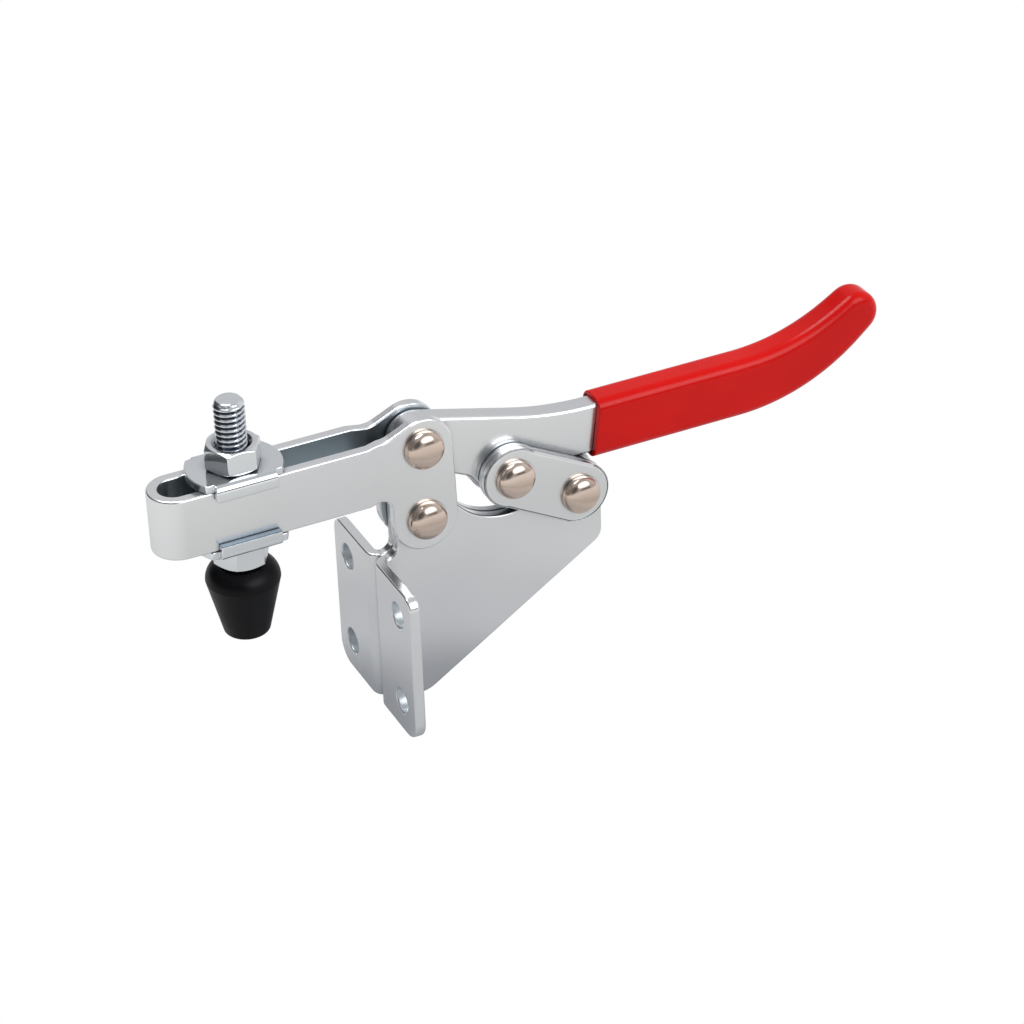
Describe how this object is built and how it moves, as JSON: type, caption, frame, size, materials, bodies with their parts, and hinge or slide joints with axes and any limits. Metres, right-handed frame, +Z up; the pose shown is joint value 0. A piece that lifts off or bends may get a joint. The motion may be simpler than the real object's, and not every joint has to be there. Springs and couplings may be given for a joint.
{
  "type": "toggle clamp",
  "caption": "Hold-down toggle clamp with a folded upright flange base, a slotted U-shaped bar, a lying lever handle in a vinyl grip, and an adjustable spindle with a rubber tip.",
  "frame": {"origin": "centre of the four flange holes, on the mounting face", "axes": "+X from the mounting face towards the handle, +Z up along the flange, the clamp symmetric about y = 0"},
  "size_m": [0.207, 0.0482, 0.1019],
  "materials": {
    "plate": "zinc-plated sheet, satin",
    "hardware": "zinc-plated, bright",
    "rivet": "nickel-plated, semi-bright",
    "grip": "dipped red vinyl, semi-gloss",
    "rubber": "moulded black rubber, semi-gloss"
  },
  "bodies": {
    "base": {"base_plate_left": "plate", "base_plate_right": "plate", "bar_base_rivet": "rivet", "link_base_rivet": "rivet"},
    "bar": {"u_bar": "plate", "bar_handle_rivet": "rivet"},
    "handle": {"handle_lever": "plate", "handle_grip": "grip"},
    "links": {"inner_link_left": "plate", "inner_link_right": "plate", "outer_link_left": "plate", "outer_link_right": "plate", "handle_link_rivet_left": "rivet", "handle_link_rivet_right": "rivet"},
    "carriage": {"upper_flanged_washer": "hardware", "lower_flanged_washer": "hardware", "upper_nut": "hardware", "lower_nut": "hardware"},
    "spindle": {"spindle_bolt": "hardware", "rubber_tip": "rubber"}
  },
  "joints": [
    {"name": "bar_pivot", "type": "hinge", "parent": "base", "child": "bar", "pos_m": [0.0138, 0, 0.03295], "axis": [0, 1, 0], "range_deg": [0, 80]},
    {"name": "handle_pivot", "type": "hinge", "parent": "bar", "child": "handle", "pos_m": [0.0138, 0, 0.05395], "axis": [0, -1, 0], "range_deg": [0, 136.9]},
    {"name": "link_pivot", "type": "hinge", "parent": "base", "child": "links", "pos_m": [0.0573, 0, 0.02805], "axis": [0, 1, 0], "range_deg": [0, 72.5]},
    {"name": "spindle_position", "type": "slide", "parent": "bar", "child": "carriage", "axis": [1, 0, 0], "range_m": [-0.008, 0.018]},
    {"name": "spindle_height", "type": "slide", "parent": "carriage", "child": "spindle", "axis": [0, 0, 1], "range_m": [-0.011, 0]}
  ],
  "couplings": [
    {"joint": "bar_pivot", "follows": "handle_pivot", "ratio": 0.58437},
    {"joint": "link_pivot", "follows": "handle_pivot", "ratio": 0.52908}
  ]
}
